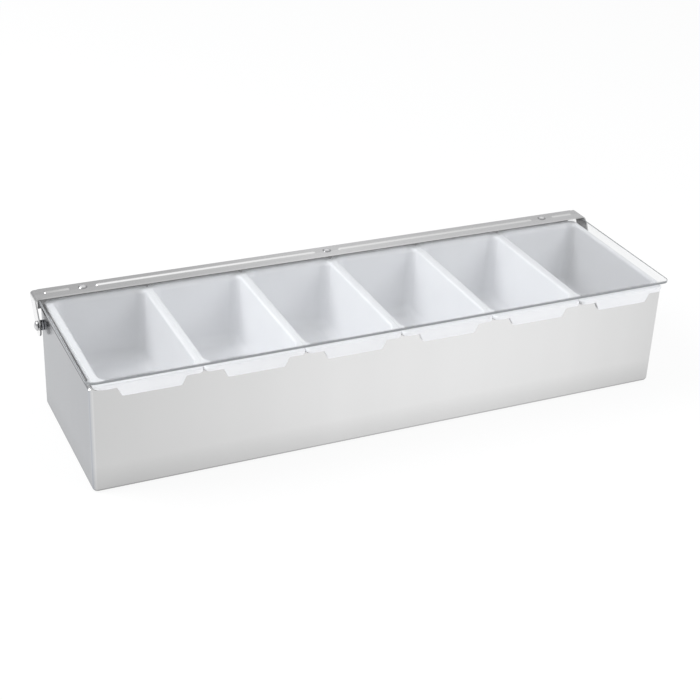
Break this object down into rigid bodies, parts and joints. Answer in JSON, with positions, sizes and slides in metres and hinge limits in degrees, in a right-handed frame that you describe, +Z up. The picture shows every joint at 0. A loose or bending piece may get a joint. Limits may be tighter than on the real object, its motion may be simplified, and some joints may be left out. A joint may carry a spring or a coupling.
{
  "type": "bar garnish tray",
  "caption": "Long brushed-steel tray with a row of lift-out white plastic inserts under a clear lid hinged on pins at the ends; holds cut garnish at a bar.",
  "frame": {"origin": "middle of the housing's flat underside", "axes": "+X along the row of inserts, -Y towards the pull tabs at the front, +Z up"},
  "size_m": [0.4892, 0.1519, 0.0938],
  "materials": {
    "brushed_sheet": "satin, with the grain running up the walls",
    "hinge_steel": "mill finish, slightly darker than the housing",
    "bright_steel": "bright",
    "clear_plastic": "clear and smooth, with grey edges",
    "white_plastic": "fine moulded satin"
  },
  "bodies": {
    "box": {"housing": "brushed_sheet", "hinge_pin_left": "bright_steel", "hinge_pin_right": "bright_steel", "pin_outer_nut_left": "bright_steel", "pin_outer_nut_right": "bright_steel", "pin_inner_nut_left": "bright_steel", "pin_inner_nut_right": "bright_steel"},
    "lid": {"lid_sheet": "clear_plastic", "hinge_bar": "hinge_steel", "lid_rivets": "bright_steel", "rivet_washers": "bright_steel"},
    "tub_1": {"insert_1": "white_plastic"},
    "tub_2": {"insert_2": "white_plastic"},
    "tub_3": {"insert_3": "white_plastic"},
    "tub_4": {"insert_4": "white_plastic"},
    "tub_5": {"insert_5": "white_plastic"},
    "tub_6": {"insert_6": "white_plastic"}
  },
  "joints": [
    {"name": "lid_hinge", "type": "hinge", "parent": "box", "child": "lid", "pos_m": [0, 0.0605, 0.0715], "axis": [-1, 0, 0], "range_deg": [0, 76]},
    {"name": "insert_1_lift", "type": "slide", "parent": "box", "child": "tub_1", "axis": [0, 0, 1], "range_m": [0, 0.001]},
    {"name": "insert_2_lift", "type": "slide", "parent": "box", "child": "tub_2", "axis": [0, 0, 1], "range_m": [0, 0.001]},
    {"name": "insert_3_lift", "type": "slide", "parent": "box", "child": "tub_3", "axis": [0, 0, 1], "range_m": [0, 0.001]},
    {"name": "insert_4_lift", "type": "slide", "parent": "box", "child": "tub_4", "axis": [0, 0, 1], "range_m": [0, 0.001]},
    {"name": "insert_5_lift", "type": "slide", "parent": "box", "child": "tub_5", "axis": [0, 0, 1], "range_m": [0, 0.001]},
    {"name": "insert_6_lift", "type": "slide", "parent": "box", "child": "tub_6", "axis": [0, 0, 1], "range_m": [0, 0.001]}
  ]
}
